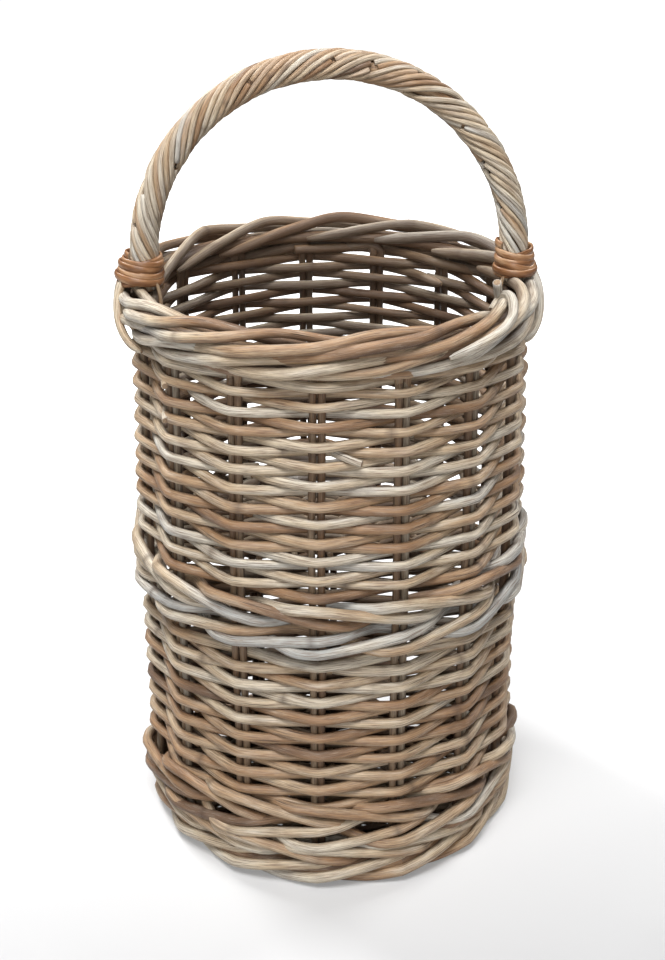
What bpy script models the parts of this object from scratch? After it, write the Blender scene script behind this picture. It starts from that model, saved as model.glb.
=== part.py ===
"""A round two-level stair basket of rattan with a fixed bow handle.

The upper compartment is a full round of woven wall. Below the shelf only the front part goes on down
to the floor, closed at the back by a flat riser wall, so that the basket sits on two stairs. Sizes are
in metres, +Z is up, the front faces -Y and the handle runs along X. Angles are measured round the
basket from the front, positive towards +X.
"""

import math

import bmesh
import bpy
import numpy as np

# Heights above the lower stair, and the height of the band above the shelf
STEP_HEIGHT = 0.190
MID_WALE_HEIGHT = 0.045
BORDER_TOP = 0.4155
FOOT_BULGE_HEIGHT = 0.040
WAIST_HEIGHT = 0.105
FOOT_WALE_TOP = 0.067

# Radii of the circle of stakes at the heights where the wall changes its slope
FLOOR_STAKE_RADIUS = 0.1325
FOOT_BULGE_STAKE_RADIUS = 0.1370
WAIST_STAKE_RADIUS = 0.1322
MID_STAKE_RADIUS = 0.1345
TOP_STAKE_RADIUS = 0.1315

# The flat riser wall behind the lower compartment
RISER_SETBACK = 0.0138
RISER_CORNER_RADIUS = 0.022
PLAN_ARC_STEPS = 9
PLAN_CORNER_STEPS = 3

# Stakes, each a pair of rods side by side
STAKE_COUNT = 15
RISER_STAKE_COUNT = 3
STAKE_TURN_DEGREES = -8.0
STAKE_ROD_DIAMETER = 0.0048
STAKE_ROD_SPACING = 0.0041
STAKE_ARC_STEPS = 4

# Strands
UPPER_WEAVER_DIAMETER = 0.0062
UPPER_WEAVER_COUNT = 5
LOWER_WEAVER_DIAMETER = 0.0068
LOWER_WEAVER_COUNT = 4
MID_STRAND_DIAMETER = 0.0074
FOOT_STRAND_DIAMETER = 0.0082
BORDER_STRAND_DIAMETER = 0.0068
WEAVE_CLEARANCE = 0.0006
ROW_GAP = 0.00065
STRAND_END_GAP = 0.0006
PASS_MARGIN = 0.0010
SPAN_TURN_DEGREES = 40.0
PASS_TURN_DEGREES = 16.0

# Border at the mouth: a closed rope of strands that run down its outer face towards the left
BORDER_DIAMETER = 0.024
BORDER_STRAND_COUNT = 7
BORDER_CREST_COUNT = 22
BORDER_POINTS_PER_CREST = 10
BORDER_OUTWARD_SHIFT = 0.004

# Foot ring, base and shelf
FOOT_RING_HEIGHT = 0.011
FOOT_RING_WIDTH = 0.019
FOOT_RING_FLAT_DEPTH = 0.0005
FOOT_RING_SIDES = 8
BASE_CLEAR_HEIGHT = 0.012
PANEL_THICKNESS = 0.008
PANEL_RIDGE_PITCH = 0.014
PANEL_RIDGE_HEIGHT = 0.0022
PANEL_RIDGE_STEPS = 4
SHELF_ARC_STEPS = 20
CUTTER_OVERRUN = 0.010

# Handle
HANDLE_INSET = 0.0055
HANDLE_RISE = 0.133
HANDLE_LEG_LENGTH = 0.0155
HANDLE_DIAMETER = 0.0205
HANDLE_STRAND_COUNT = 10
HANDLE_LOBE_DEPTH = 0.0012
HANDLE_LAY_PITCH = 0.092
HANDLE_STATION_COUNT = 36
HANDLE_LINE_STEPS = 200
HANDLE_BORE_DIAMETER = 0.0116
HANDLE_CORE_DIAMETER = 0.0080
HANDLE_CORE_STATION_COUNT = 30
HANDLE_TAIL_DIAMETER = 0.0068
HANDLE_TAIL_OUTSIDE_LENGTH = 0.026
HANDLE_TAIL_INSIDE_LENGTH = 0.050
HANDLE_TAIL_SPACING = 0.0074
HANDLE_TAIL_OUTSIDE_TUCK = 0.0010
HANDLE_TAIL_INSIDE_TUCK = 0.0004
HANDLE_TAIL_TOP_DEGREES = 36.0
HANDLE_TAIL_STEPS = 7

# Cane binding round each end of the handle
CANE_DIAMETER = 0.0042
CANE_GAP = 0.0005
CANE_TURNS = 4.2
CANE_POINTS_PER_TURN = 16

# Gap between pieces that rest on each other
SEAT_GAP = 0.0003

BORDER_RADIUS = BORDER_DIAMETER / 2
BORDER_CENTRE_HEIGHT = BORDER_TOP - BORDER_RADIUS
BORDER_CENTRE_RADIUS = TOP_STAKE_RADIUS + BORDER_OUTWARD_SHIFT
BORDER_BOTTOM = BORDER_TOP - BORDER_DIAMETER
MID_WALE_TOP = STEP_HEIGHT + MID_WALE_HEIGHT
MID_HEIGHT = (STEP_HEIGHT + MID_WALE_TOP) / 2
FOOT_RING_TOP = FOOT_RING_HEIGHT - FOOT_RING_FLAT_DEPTH
HANDLE_HALF_SPAN = BORDER_CENTRE_RADIUS - HANDLE_INSET
HANDLE_SPRING_HEIGHT = BORDER_TOP + HANDLE_LEG_LENGTH

WALL_PROFILE = [
    (0.0, FLOOR_STAKE_RADIUS),
    (FOOT_BULGE_HEIGHT, FOOT_BULGE_STAKE_RADIUS),
    (WAIST_HEIGHT, WAIST_STAKE_RADIUS),
    (MID_HEIGHT, MID_STAKE_RADIUS),
    (BORDER_BOTTOM, TOP_STAKE_RADIUS),
]

COLOURS = {
    "stake": (0.30, 0.24, 0.18),
    "weave": (0.44, 0.36, 0.27),
    "wale": (0.42, 0.35, 0.28),
    "border": (0.46, 0.38, 0.30),
    "panel": (0.33, 0.24, 0.18),
    "handle": (0.45, 0.39, 0.32),
    "core": (0.48, 0.34, 0.20),
    "cane": (0.42, 0.20, 0.09),
}
ROUGHNESS = {"cane": 0.35}
PLAIN_ROUGHNESS = 0.65


def clear_scene():
    for old in list(bpy.data.objects):
        bpy.data.objects.remove(old)


def give_material(obj, kind):
    material = bpy.data.materials.new(f"{obj.name}_{kind}")
    material.use_nodes = True
    shader = material.node_tree.nodes["Principled BSDF"]
    shader.inputs["Base Color"].default_value = (*COLOURS[kind], 1.0)
    shader.inputs["Roughness"].default_value = ROUGHNESS.get(kind, PLAIN_ROUGHNESS)
    shader.inputs["Metallic"].default_value = 0.0
    obj.data.materials.append(material)


def add_object(name, data, kind=None):
    obj = bpy.data.objects.new(name, data)
    bpy.context.scene.collection.objects.link(obj)
    if kind:
        give_material(obj, kind)
    return obj


def add_mesh(name, points, faces, kind=None, smooth=True):
    mesh = bpy.data.meshes.new(name)
    mesh.from_pydata([tuple(point) for point in points], [], faces)
    form = bmesh.new()
    form.from_mesh(mesh)
    bmesh.ops.recalc_face_normals(form, faces=form.faces)
    form.to_mesh(mesh)
    form.free()
    if smooth:
        mesh.shade_smooth()
    return add_object(name, mesh, kind)


def add_rod(name, points, diameter, kind, closed=False, sides_step=0):
    """A strand: one unbroken tube through the points, diamond in section at sides_step 0."""
    curve = bpy.data.curves.new(name, "CURVE")
    curve.dimensions = "3D"
    curve.twist_mode = "Z_UP"
    curve.bevel_depth = diameter / 2
    curve.bevel_resolution = sides_step
    curve.use_fill_caps = True
    curve.render_resolution_u = 0
    spline = curve.splines.new("POLY")
    spline.points.add(len(points) - 1)
    for slot, point in zip(spline.points, points):
        slot.co = (*point, 1.0)
    spline.use_cyclic_u = closed
    spline.use_smooth = True
    return add_object(name, curve, kind)


def least_gap(points, diameter, closed=False):
    """Least clear distance of a tube to itself, leaving out each point's own neighbours along it."""
    points = np.array(points)
    ends = np.roll(points, -1, axis=0) if closed else points[1:]
    starts = points if closed else points[:-1]
    middles = np.concatenate([starts + (ends - starts) * part / 4 for part in range(4)])
    order = np.concatenate([np.arange(len(starts)) + part / 4 for part in range(4)])
    middles = middles[np.argsort(order)]
    steps = np.linalg.norm(np.roll(middles, -1, axis=0) - middles, axis=1)
    along = np.concatenate([[0.0], np.cumsum(steps)[:-1]])
    least = math.inf
    for index in range(len(middles)):
        apart = np.abs(along - along[index])
        if closed:
            apart = np.minimum(apart, steps.sum() - apart)
        far = apart > 3 * diameter
        if far.any():
            distances = np.linalg.norm(middles[far] - middles[index], axis=1)
            least = min(least, float(distances.min()))
    return least - diameter


def report_gap(name, points, diameter, closed=False):
    print(f"{name}: least gap to itself {1000 * least_gap(points, diameter, closed):.2f} mm")


def stake_radius_at(height):
    """Radius of the circle of stakes, read along the wall's profile."""
    heights = [place for place, _ in WALL_PROFILE]
    radii = [radius for _, radius in WALL_PROFILE]
    return float(np.interp(height, heights, radii))


def on_circle(angle, radius):
    return radius * math.sin(angle), -radius * math.cos(angle)


class RoundWall:
    """Plan of the upper wall: a circle through the stakes."""

    def __init__(self):
        turn = 2 * math.pi / STAKE_COUNT
        start = math.radians(STAKE_TURN_DEGREES)
        self.posts = [start + turn * index for index in range(STAKE_COUNT)]
        self.length = 2 * math.pi

    def point(self, along, offset, height):
        radius = stake_radius_at(height) + offset
        return (*on_circle(along, radius), height)

    def moved(self, along, distance):
        return along + distance / stake_radius_at(MID_HEIGHT)

    def turning(self, start, end):
        return end - start


class LowerWall:
    """Plan of the lower wall: the front arc, two rounded corners and the straight riser.

    Places along it are shares: whole numbers at the ends of its five parts, which are the right half
    of the front arc, the right corner, the riser, the left corner and the left half of the front arc.
    """

    def __init__(self):
        self.length = 5.0
        turn = 2 * math.pi / STAKE_COUNT
        start = math.radians(STAKE_TURN_DEGREES)
        angles = [start + turn * (index - STAKE_COUNT) for index in range(2 * STAKE_COUNT)]
        right = [angle for angle in angles if 0 <= angle < math.pi / 2]
        left = [angle for angle in angles if -math.pi / 2 < angle < 0]
        spaces = RISER_STAKE_COUNT + 1
        riser = [2 + index / spaces for index in range(spaces + 1)]
        self.posts = [self.share_of(angle) for angle in right] + riser
        self.posts += [self.share_of(angle) for angle in left]
        self.ring_angles = right + [None] * len(riser) + left

    def parts(self, height):
        """Stake circle's radius, the corner's centre and the angle at which the front arc ends."""
        radius = stake_radius_at(height)
        centre_y = RISER_SETBACK - RISER_CORNER_RADIUS
        centre_x = math.sqrt((radius - RISER_CORNER_RADIUS) ** 2 - centre_y**2)
        return radius, centre_x, centre_y, math.atan2(centre_x, -centre_y)

    def share_of(self, angle):
        """Place along the wall of a stake that stands at this angle of the ring."""
        radius, _, _, arc_end = self.parts(WAIST_HEIGHT)
        size = abs(angle)
        if size <= arc_end:
            share = size / arc_end
        else:
            past = (size - arc_end) * radius / RISER_CORNER_RADIUS
            share = 1 + past / (math.pi - arc_end)
        return share if angle >= 0 else self.length - share

    def point(self, along, offset, height):
        radius, centre_x, centre_y, arc_end = self.parts(height)
        place = along % self.length
        side = 1.0
        if place > self.length / 2:
            place = self.length - place
            side = -1.0
        if place <= 1:
            x, y = on_circle(place * arc_end, radius + offset)
        elif place <= 2:
            angle = arc_end + (place - 1) * (math.pi - arc_end)
            x, y = on_circle(angle, RISER_CORNER_RADIUS + offset)
            x += centre_x
            y += centre_y
        else:
            x = centre_x * (1 - 2 * (place - 2))
            y = RISER_SETBACK + offset
        return side * x, y, height

    def moved(self, along, distance):
        """The place a short distance further along, or back when the distance is negative."""
        radius, centre_x, _, arc_end = self.parts(WAIST_HEIGHT)
        corner = RISER_CORNER_RADIUS * (math.pi - arc_end)
        lengths = [radius * arc_end, corner, 2 * centre_x, corner, radius * arc_end]
        lap, place = divmod(along, self.length)
        part = int(place) if distance > 0 else math.ceil(place) - 1
        reach = lengths[part % len(lengths)]
        return lap * self.length + place + distance / reach

    def turning(self, start, end):
        """Angle that the wall turns through between two places."""
        _, _, _, arc_end = self.parts(WAIST_HEIGHT)
        turned = 0.0
        for first, last, angle in (
            (0, 1, arc_end),
            (1, 2, math.pi - arc_end),
            (3, 4, math.pi - arc_end),
            (4, 5, arc_end),
        ):
            for lap in (0, self.length):
                overlap = min(end, last + lap) - max(start, first + lap)
                turned += max(0.0, overlap) * angle
        return turned


def post_place(wall, index):
    """Place of a stake, counted on past each lap round the wall."""
    lap, post = divmod(index, len(wall.posts))
    return wall.posts[post] + lap * wall.length


def strand_places(wall, start, end, offset, next_offset, turn_degrees):
    """Places along a strand's stretch and their offsets, with one more for each turn of so many degrees."""
    turned = wall.turning(start % wall.length, start % wall.length + end - start)
    steps = int(turned / math.radians(turn_degrees)) + 1
    shares = [step / steps for step in range(steps)]
    return [(start + share * (end - start), offset + share * (next_offset - offset)) for share in shares]


def woven_points(wall, start_height, climb, diameter, inside_every, first_post, last_post):
    """One unbroken strand that climbs from behind one stake to behind another, inside every so many."""
    swing = STAKE_ROD_DIAMETER / 2 + WEAVE_CLEARANCE + diameter / 2
    pass_half = (STAKE_ROD_SPACING + STAKE_ROD_DIAMETER) / 2 + PASS_MARGIN
    points = []
    for index in range(first_post, last_post + 1):
        here = post_place(wall, index)
        after = post_place(wall, index + 1)
        offset, next_offset = [
            -swing if step % inside_every == 0 else swing for step in (index, index + 1)
        ]
        enter = wall.moved(here, STRAND_END_GAP / 2 if index == first_post else -pass_half)
        leave = wall.moved(here, -STRAND_END_GAP / 2 if index == last_post else pass_half)
        points += strand_places(wall, enter, leave, offset, offset, PASS_TURN_DEGREES)
        if index == last_post:
            points.append((leave, offset))
        else:
            arrive = wall.moved(after, -pass_half)
            points += strand_places(wall, leave, arrive, offset, next_offset, SPAN_TURN_DEGREES)
    start = wall.posts[0]
    return [
        wall.point(along, offset, start_height + (along - start) * climb) for along, offset in points
    ]


def rod_pair_outline():
    """Outline of two rods side by side, as pairs of along-the-wall and outward places."""
    radius = STAKE_ROD_DIAMETER / 2
    shift = STAKE_ROD_SPACING / 2
    waist = math.acos(shift / radius)
    outline = []
    for side in (1, -1):
        for step in range(STAKE_ARC_STEPS):
            share = step / STAKE_ARC_STEPS
            angle = -(math.pi - waist) + 2 * (math.pi - waist) * share
            outline.append((side * (shift + radius * math.cos(angle)), side * radius * math.sin(angle)))
    return outline


def loft(name, rings, kind, closed=False, smooth=True):
    """Skin through rings of equally many points, with flat ends unless it closes on itself."""
    size = len(rings[0])
    points = [point for ring in rings for point in ring]
    last = len(rings) if closed else len(rings) - 1
    faces = []
    for index in range(last):
        first = index * size
        second = (index + 1) % len(rings) * size
        for step in range(size):
            after = (step + 1) % size
            faces.append((first + step, first + after, second + after, second + step))
    if not closed:
        faces.append(tuple(range(size)))
        faces.append(tuple(range((len(rings) - 1) * size, len(rings) * size)))
    return add_mesh(name, points, faces, kind, smooth)


def add_stake(name, place_at, heights):
    """A pair of rods lofted up through the heights; place_at gives its middle and outward direction."""
    rings = []
    for height in heights:
        (x, y), (out_x, out_y) = place_at(height)
        rings.append([
            (x - out_y * across + out_x * outward, y + out_x * across + out_y * outward, height)
            for across, outward in rod_pair_outline()
        ])
    loft(name, rings, "stake")


def wall_place(wall, along):
    """Middle and outward direction of a stake at a place along a wall."""

    def place_at(height):
        x, y, _ = wall.point(along, 0.0, height)
        far_x, far_y, _ = wall.point(along, STAKE_ROD_DIAMETER, height)
        reach = math.hypot(far_x - x, far_y - y)
        return (x, y), ((far_x - x) / reach, (far_y - y) / reach)

    return place_at


def heights_between(bottom, top):
    inner = [height for height, _ in WALL_PROFILE if bottom < height < top]
    return [bottom, *inner, top]


def add_stakes(upper, lower):
    top = BORDER_BOTTOM - SEAT_GAP
    foot = FOOT_RING_TOP + SEAT_GAP
    for number, angle in enumerate(upper.posts):
        above = wall_place(upper, angle)
        wrapped = math.remainder(angle, 2 * math.pi)
        if abs(wrapped) < math.pi / 2:
            below = wall_place(lower, lower.share_of(wrapped))

            def place_at(height, above=above, below=below):
                return above(height) if height >= STEP_HEIGHT else below(height)

            add_stake(f"stake_{number + 1:02d}", place_at, heights_between(foot, top))
        else:
            add_stake(f"stake_{number + 1:02d}", above, heights_between(STEP_HEIGHT, top))
    riser_top = STEP_HEIGHT - SEAT_GAP
    riser = [along for along, angle in zip(lower.posts, lower.ring_angles) if angle is None]
    names = ["corner_stake_right", *[f"riser_stake_{i + 1}" for i in range(RISER_STAKE_COUNT)]]
    names.append("corner_stake_left")
    for name, along in zip(names, riser):
        add_stake(name, wall_place(lower, along), heights_between(foot, riser_top))


def add_woven(name, wall, bottom, top, diameter, inside_every, kind, strand_count=1):
    """A woven band between two heights, of one or more strands that follow on from each other."""
    climb = (diameter + ROW_GAP) / wall.length
    start_height = bottom + diameter / 2
    laps = (top - diameter - bottom) / (diameter + ROW_GAP)
    passes = int(laps * len(wall.posts) / inside_every)
    cuts = [round(passes * number / strand_count) * inside_every for number in range(strand_count + 1)]
    for number in range(strand_count):
        points = woven_points(
            wall, start_height, climb, diameter, inside_every, cuts[number], cuts[number + 1]
        )
        strand = name if strand_count == 1 else f"{name}_{number + 1}"
        report_gap(strand, points, diameter)
        add_rod(strand, points, diameter, kind)


def add_border():
    """Rolled border: strands laid round the mouth as one closed rope."""
    lay = (BORDER_DIAMETER - BORDER_STRAND_DIAMETER) / 2
    count = BORDER_CREST_COUNT * BORDER_POINTS_PER_CREST
    points = []
    for index in range(count):
        share = index / count
        around = 2 * math.pi * BORDER_STRAND_COUNT * share
        roll = 2 * math.pi * BORDER_CREST_COUNT * share
        x, y = on_circle(around, BORDER_CENTRE_RADIUS + lay * math.cos(roll))
        points.append((x, y, BORDER_CENTRE_HEIGHT + lay * math.sin(roll)))
    report_gap("rim_border", points, BORDER_STRAND_DIAMETER, closed=True)
    add_rod("rim_border", points, BORDER_STRAND_DIAMETER, "border", closed=True)


def lower_outline(lower, offset, height):
    """Points round the lower wall's plan at an offset, denser in the corners."""
    arc = [step / PLAN_ARC_STEPS for step in range(PLAN_ARC_STEPS)]
    corner = [step / PLAN_CORNER_STEPS for step in range(PLAN_CORNER_STEPS)]
    shares = arc + [1 + step for step in corner] + [2.0]
    shares += [3 + step for step in corner] + [4 + step for step in arc]
    return [lower.point(share, offset, height)[:2] for share in shares]


def add_foot_ring(lower):
    """Border under the foot, flat where it meets the floor."""
    middle = FOOT_RING_HEIGHT / 2 - FOOT_RING_FLAT_DEPTH
    columns = []
    for side in range(FOOT_RING_SIDES):
        angle = 2 * math.pi * (side + 0.5) / FOOT_RING_SIDES
        offset = FOOT_RING_WIDTH / 2 * math.cos(angle)
        height = max(0.0, middle + FOOT_RING_HEIGHT / 2 * math.sin(angle))
        columns.append([(x, y, height) for x, y in lower_outline(lower, offset, 0.0)])
    rings = [list(ring) for ring in zip(*columns)]
    loft("foot_ring", rings, "wale", closed=True, smooth=False)


def ridged_panel(name, outline, bottom):
    """A panel of rods laid side by side: flat below, ridged above, trimmed to its outline."""
    front = min(y for _, y in outline) - CUTTER_OVERRUN
    back = max(y for _, y in outline) + CUTTER_OVERRUN
    reach = max(abs(x) for x, _ in outline) + CUTTER_OVERRUN
    count = int((back - front) / PANEL_RIDGE_PITCH) + 1
    top = bottom + PANEL_THICKNESS - PANEL_RIDGE_HEIGHT
    profile = []
    for index in range(count * PANEL_RIDGE_STEPS + 1):
        share = index / PANEL_RIDGE_STEPS
        rise = PANEL_RIDGE_HEIGHT * abs(math.sin(math.pi * share))
        profile.append((front + PANEL_RIDGE_PITCH * share, top + rise))
    profile += [(profile[-1][0], bottom), (front, bottom)]
    rings = [[(x, y, z) for y, z in profile] for x in (-reach, reach)]
    panel = loft(name, rings, "panel", smooth=False)
    heights = (bottom - CUTTER_OVERRUN, bottom + PANEL_THICKNESS + CUTTER_OVERRUN)
    cutter = loft(f"{name}_outline", [[(x, y, z) for x, y in outline] for z in heights], None)
    cutter.hide_render = True
    cutter.display_type = "WIRE"
    trim = panel.modifiers.new("trim", "BOOLEAN")
    trim.operation = "INTERSECT"
    trim.object = cutter
    trim.solver = "EXACT"


def add_panels(lower):
    foot_inset = STAKE_ROD_DIAMETER / 2 + WEAVE_CLEARANCE + FOOT_STRAND_DIAMETER + SEAT_GAP
    base_outline = lower_outline(lower, -foot_inset, BASE_CLEAR_HEIGHT)
    ridged_panel("base_panel", base_outline, BASE_CLEAR_HEIGHT)
    mid_inset = STAKE_ROD_DIAMETER / 2 + WEAVE_CLEARANCE + MID_STRAND_DIAMETER + SEAT_GAP
    radius = stake_radius_at(STEP_HEIGHT) - mid_inset
    front = RISER_SETBACK - STAKE_ROD_DIAMETER / 2 - WEAVE_CLEARANCE - LOWER_WEAVER_DIAMETER
    start = math.pi / 2 + math.asin(front / radius)
    shelf_outline = []
    for step in range(SHELF_ARC_STEPS + 1):
        angle = start + (2 * math.pi - 2 * start) * step / SHELF_ARC_STEPS
        shelf_outline.append(on_circle(angle, radius))
    ridged_panel("step_shelf", shelf_outline, STEP_HEIGHT)


def arch_point(angle):
    """Point on the handle's centre line; angle 0 is its right spring and pi its left one."""
    x = HANDLE_HALF_SPAN * math.cos(angle)
    return x, HANDLE_SPRING_HEIGHT + HANDLE_RISE * math.sin(angle)


def handle_line(bottom, count):
    """Evenly spaced points of the handle's centre line, from a height on the left leg to the right."""
    fine = [(-HANDLE_HALF_SPAN, bottom)]
    fine += [arch_point(math.pi * (1 - step / HANDLE_LINE_STEPS)) for step in range(HANDLE_LINE_STEPS + 1)]
    fine.append((HANDLE_HALF_SPAN, bottom))
    fine = np.array(fine)
    along = np.concatenate([[0.0], np.cumsum(np.linalg.norm(np.diff(fine, axis=0), axis=1))])
    places = np.linspace(0.0, along[-1], count)
    line = np.stack([np.interp(places, along, fine[:, axis]) for axis in (0, 1)], axis=1)
    return line, places


def handle_foot():
    """Height where the handle's wrapped ends stand on the border."""
    return BORDER_TOP + SEAT_GAP


def add_handle_wrap():
    """Wrapping strands twisted left-handed round the core, as one lobed sleeve with its bore."""
    line, places = handle_line(handle_foot(), HANDLE_STATION_COUNT)
    tangents = np.gradient(line, places, axis=0)
    tangents /= np.linalg.norm(tangents, axis=1)[:, None]
    sides = 2 * HANDLE_STRAND_COUNT
    bore_sides = HANDLE_STRAND_COUNT // 2
    points = []
    for (x, z), (along_x, along_z), place in zip(line, tangents, places):
        twist = -2 * math.pi * place / HANDLE_LAY_PITCH
        for ring, size in (("outer", sides), ("bore", bore_sides)):
            for step in range(size):
                angle = twist + 2 * math.pi * step / size
                radius = HANDLE_BORE_DIAMETER / 2
                if ring == "outer":
                    radius = HANDLE_DIAMETER / 2 - HANDLE_LOBE_DEPTH * (step % 2)
                across = radius * math.cos(angle)
                points.append((x - along_z * across, -radius * math.sin(angle), z + along_x * across))
    faces = []
    block = sides + bore_sides
    for station in range(HANDLE_STATION_COUNT - 1):
        for first, size in ((0, sides), (sides, bore_sides)):
            for step in range(size):
                near = station * block + first + step
                beside = station * block + first + (step + 1) % size
                faces.append((near, beside, beside + block, near + block))
    per_bore = sides // bore_sides
    for start in (0, (HANDLE_STATION_COUNT - 1) * block):
        for step in range(bore_sides):
            centre = start + sides + step
            for part in range(per_bore):
                rim = step * per_bore + part
                faces.append((start + rim, start + (rim + 1) % sides, centre))
            corner = start + (step + 1) * per_bore % sides
            faces.append((corner, start + sides + (step + 1) % bore_sides, centre))
    add_mesh("handle_wrap", points, faces, "handle")


def add_handle_core():
    """The bow inside the wrapping strands, one bent rod from end to end."""
    line, _ = handle_line(handle_foot(), HANDLE_CORE_STATION_COUNT)
    core = add_rod("handle_core", [(x, 0.0, z) for x, z in line], HANDLE_CORE_DIAMETER, "core", sides_step=1)
    core.data.twist_mode = "MINIMUM"


def tail_line(outside):
    """A strand end's line in the plane of the handle, as distances from the middle and heights."""
    clear = BORDER_RADIUS + SEAT_GAP + HANDLE_TAIL_DIAMETER / 2
    clear -= HANDLE_TAIL_OUTSIDE_TUCK if outside else HANDLE_TAIL_INSIDE_TUCK
    wall_half = STAKE_ROD_DIAMETER / 2 + WEAVE_CLEARANCE + UPPER_WEAVER_DIAMETER
    wall_half += SEAT_GAP + HANDLE_TAIL_DIAMETER / 2
    if outside:
        bottom = BORDER_BOTTOM - HANDLE_TAIL_OUTSIDE_LENGTH
        down_radius = stake_radius_at(bottom) + wall_half
        start = math.radians(HANDLE_TAIL_TOP_DEGREES)
    else:
        bottom = BORDER_BOTTOM - HANDLE_TAIL_INSIDE_LENGTH
        down_radius = min(TOP_STAKE_RADIUS, stake_radius_at(bottom)) - wall_half
        start = math.pi - math.radians(HANDLE_TAIL_TOP_DEGREES)
    reach = max(-1.0, min(1.0, (down_radius - BORDER_CENTRE_RADIUS) / clear))
    end = -math.acos(reach) if outside else math.pi
    points = []
    for step in range(HANDLE_TAIL_STEPS + 1):
        angle = start + (end - start) * step / HANDLE_TAIL_STEPS
        radius = BORDER_CENTRE_RADIUS + clear * math.cos(angle)
        points.append((radius, BORDER_CENTRE_HEIGHT + clear * math.sin(angle)))
    if not outside:
        points.append((down_radius, BORDER_BOTTOM))
    points.append((down_radius, bottom))
    return points


def add_handle_tails():
    """Strand ends of the handle that straddle the border: two outside it and one inside, each end."""
    for side, side_name in ((-1, "left"), (1, "right")):
        for name, outside, shift in (("outer_1", True, -0.5), ("outer_2", True, 0.5), ("inner", False, 0.0)):
            path = [(side * radius, shift * HANDLE_TAIL_SPACING, z) for radius, z in tail_line(outside)]
            tail = add_rod(f"handle_tail_{side_name}_{name}", path, HANDLE_TAIL_DIAMETER, "core", sides_step=1)
            tail.data.twist_mode = "MINIMUM"


def add_bindings():
    """Cane wound round each end of the handle, one unbroken winding each."""
    bottom = BORDER_TOP + SEAT_GAP + CANE_DIAMETER / 2
    pitch = CANE_DIAMETER + CANE_GAP
    radius = HANDLE_DIAMETER / 2 + SEAT_GAP + CANE_DIAMETER / 2
    count = int(CANE_TURNS * CANE_POINTS_PER_TURN)
    for side, side_name in ((-1, "left"), (1, "right")):
        points = []
        for index in range(count + 1):
            turn = 2 * math.pi * index / CANE_POINTS_PER_TURN
            height = bottom + pitch * index / CANE_POINTS_PER_TURN
            lift = max(0.0, height - HANDLE_SPRING_HEIGHT) / HANDLE_RISE
            middle = HANDLE_HALF_SPAN * math.sqrt(1 - lift**2)
            points.append((side * (middle + radius * math.cos(turn)), radius * math.sin(turn), height))
        report_gap(f"handle_binding_{side_name}", points, CANE_DIAMETER)
        add_rod(f"handle_binding_{side_name}", points, CANE_DIAMETER, "cane", sides_step=1)


def main():
    clear_scene()
    upper = RoundWall()
    lower = LowerWall()
    add_stakes(upper, lower)
    add_foot_ring(lower)
    foot_bottom = FOOT_RING_TOP + SEAT_GAP
    add_woven("foot_wale", lower, foot_bottom, FOOT_WALE_TOP, FOOT_STRAND_DIAMETER, 4, "wale")
    lower_bottom = FOOT_WALE_TOP + ROW_GAP
    lower_top = STEP_HEIGHT - SEAT_GAP
    add_woven(
        "lower_weaver", lower, lower_bottom, lower_top, LOWER_WEAVER_DIAMETER, 2, "weave", LOWER_WEAVER_COUNT
    )
    mid_bottom = STEP_HEIGHT + ROW_GAP
    add_woven("mid_wale", upper, mid_bottom, MID_WALE_TOP, MID_STRAND_DIAMETER, 4, "wale")
    upper_bottom = MID_WALE_TOP + ROW_GAP
    upper_top = BORDER_BOTTOM - SEAT_GAP
    add_woven(
        "upper_weaver", upper, upper_bottom, upper_top, UPPER_WEAVER_DIAMETER, 2, "weave", UPPER_WEAVER_COUNT
    )
    add_border()
    add_panels(lower)
    add_handle_wrap()
    add_handle_core()
    add_handle_tails()
    add_bindings()


main()
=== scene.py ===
"""Looks of the round two-level stair basket: every strand of the weave, with its grain and colour."""

import math

import bpy
import numpy as np
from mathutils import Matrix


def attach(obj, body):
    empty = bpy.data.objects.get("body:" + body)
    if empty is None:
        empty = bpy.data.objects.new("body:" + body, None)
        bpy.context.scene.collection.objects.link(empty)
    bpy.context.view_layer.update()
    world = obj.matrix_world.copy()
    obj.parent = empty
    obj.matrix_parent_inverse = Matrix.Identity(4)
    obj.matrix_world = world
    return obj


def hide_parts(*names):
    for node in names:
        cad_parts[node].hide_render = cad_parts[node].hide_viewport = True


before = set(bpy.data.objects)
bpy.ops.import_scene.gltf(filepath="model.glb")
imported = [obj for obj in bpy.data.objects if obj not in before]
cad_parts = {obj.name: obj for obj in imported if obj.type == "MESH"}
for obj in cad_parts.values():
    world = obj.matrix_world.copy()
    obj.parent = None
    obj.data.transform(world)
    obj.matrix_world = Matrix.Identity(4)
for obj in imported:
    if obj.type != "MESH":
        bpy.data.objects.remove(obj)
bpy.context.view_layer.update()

draw = np.random.default_rng(23)

# Sizes of the basket in metres. +Z is up, -Y is the front and X runs along the handle

STEP_HEIGHT = 0.190
STAKES = 15
STAKE_START = math.radians(-8.0)
STAKE_TURN = 2 * math.pi / STAKES

# Radius of the stakes' circle by height: the dressed walls are up to 3 mm wider than the solids' walls. The
# solids' radius at the rim tells how far round the border the rods of a pair stand apart
PROFILE_HEIGHTS = [0.0, 0.040, 0.105, 0.2125, 0.3915]
PROFILE_RADII = [0.1325, 0.1372, 0.1355, 0.1372, 0.1343]
RIM_STAKE_RADIUS = 0.1315

# The flat riser wall stands behind the axis, and joins the round front by two corners of this radius
RISER_SETBACK = 0.0138
RISER_CORNER = 0.022

# Below the flare's top the foot spreads at the front, in full at this depth, and draws in at the sides
FLARE_TOP = 0.055
FLARE_FRONT = 0.0090
FLARE_SIDE = -0.0035
FLARE_DEPTH = 0.13

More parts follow.
